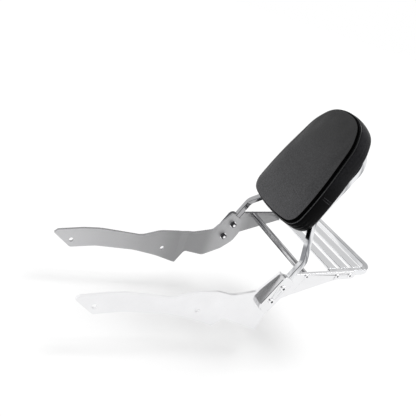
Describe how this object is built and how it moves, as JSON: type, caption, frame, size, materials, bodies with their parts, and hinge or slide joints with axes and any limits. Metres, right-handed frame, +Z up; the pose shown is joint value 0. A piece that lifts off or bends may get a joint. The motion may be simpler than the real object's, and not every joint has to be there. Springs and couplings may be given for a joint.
{
  "type": "sissy bar with luggage rack",
  "caption": "Detachable passenger backrest for a motorcycle: side plates, bent square-bar hoop with a padded backrest, and a short slatted luggage rack behind it.",
  "frame": {"origin": "on the middle plane, at the common axis of the rear mounting holes of the two side plates", "axes": "+X to the front of the motorcycle along the level line of mounting holes, +Y to its left side, +Z up"},
  "size_m": [0.6753, 0.3008, 0.4908],
  "materials": {
    "plate_chrome": "polished, satin inside",
    "bracket_chrome": "polished, satin inside",
    "bar_chrome": "polished",
    "slat_chrome": "polished",
    "dark_fastener": "dark oxide",
    "pad_cover": "fine grain, matt",
    "pad_back": "matt"
  },
  "bodies": {
    "root": {"side_plate_left": "plate_chrome", "side_plate_right": "plate_chrome", "bracket_left": "bracket_chrome", "bracket_right": "bracket_chrome", "clamp_bolts": "dark_fastener", "clamp_washers": "dark_fastener", "clamp_nuts": "dark_fastener", "hoop": "bar_chrome", "cross_strut": "bar_chrome", "pad_cushion": "pad_cover", "pad_board": "pad_back", "cross_bar_lower": "bar_chrome", "cross_bar_upper": "bar_chrome", "rack_loop": "bar_chrome", "rack_slat_front": "slat_chrome", "rack_slat_middle": "slat_chrome", "rack_slat_rear": "slat_chrome", "strut_screws": "dark_fastener", "rack_screws": "dark_fastener", "pad_screws": "dark_fastener"}
  },
  "joints": []
}
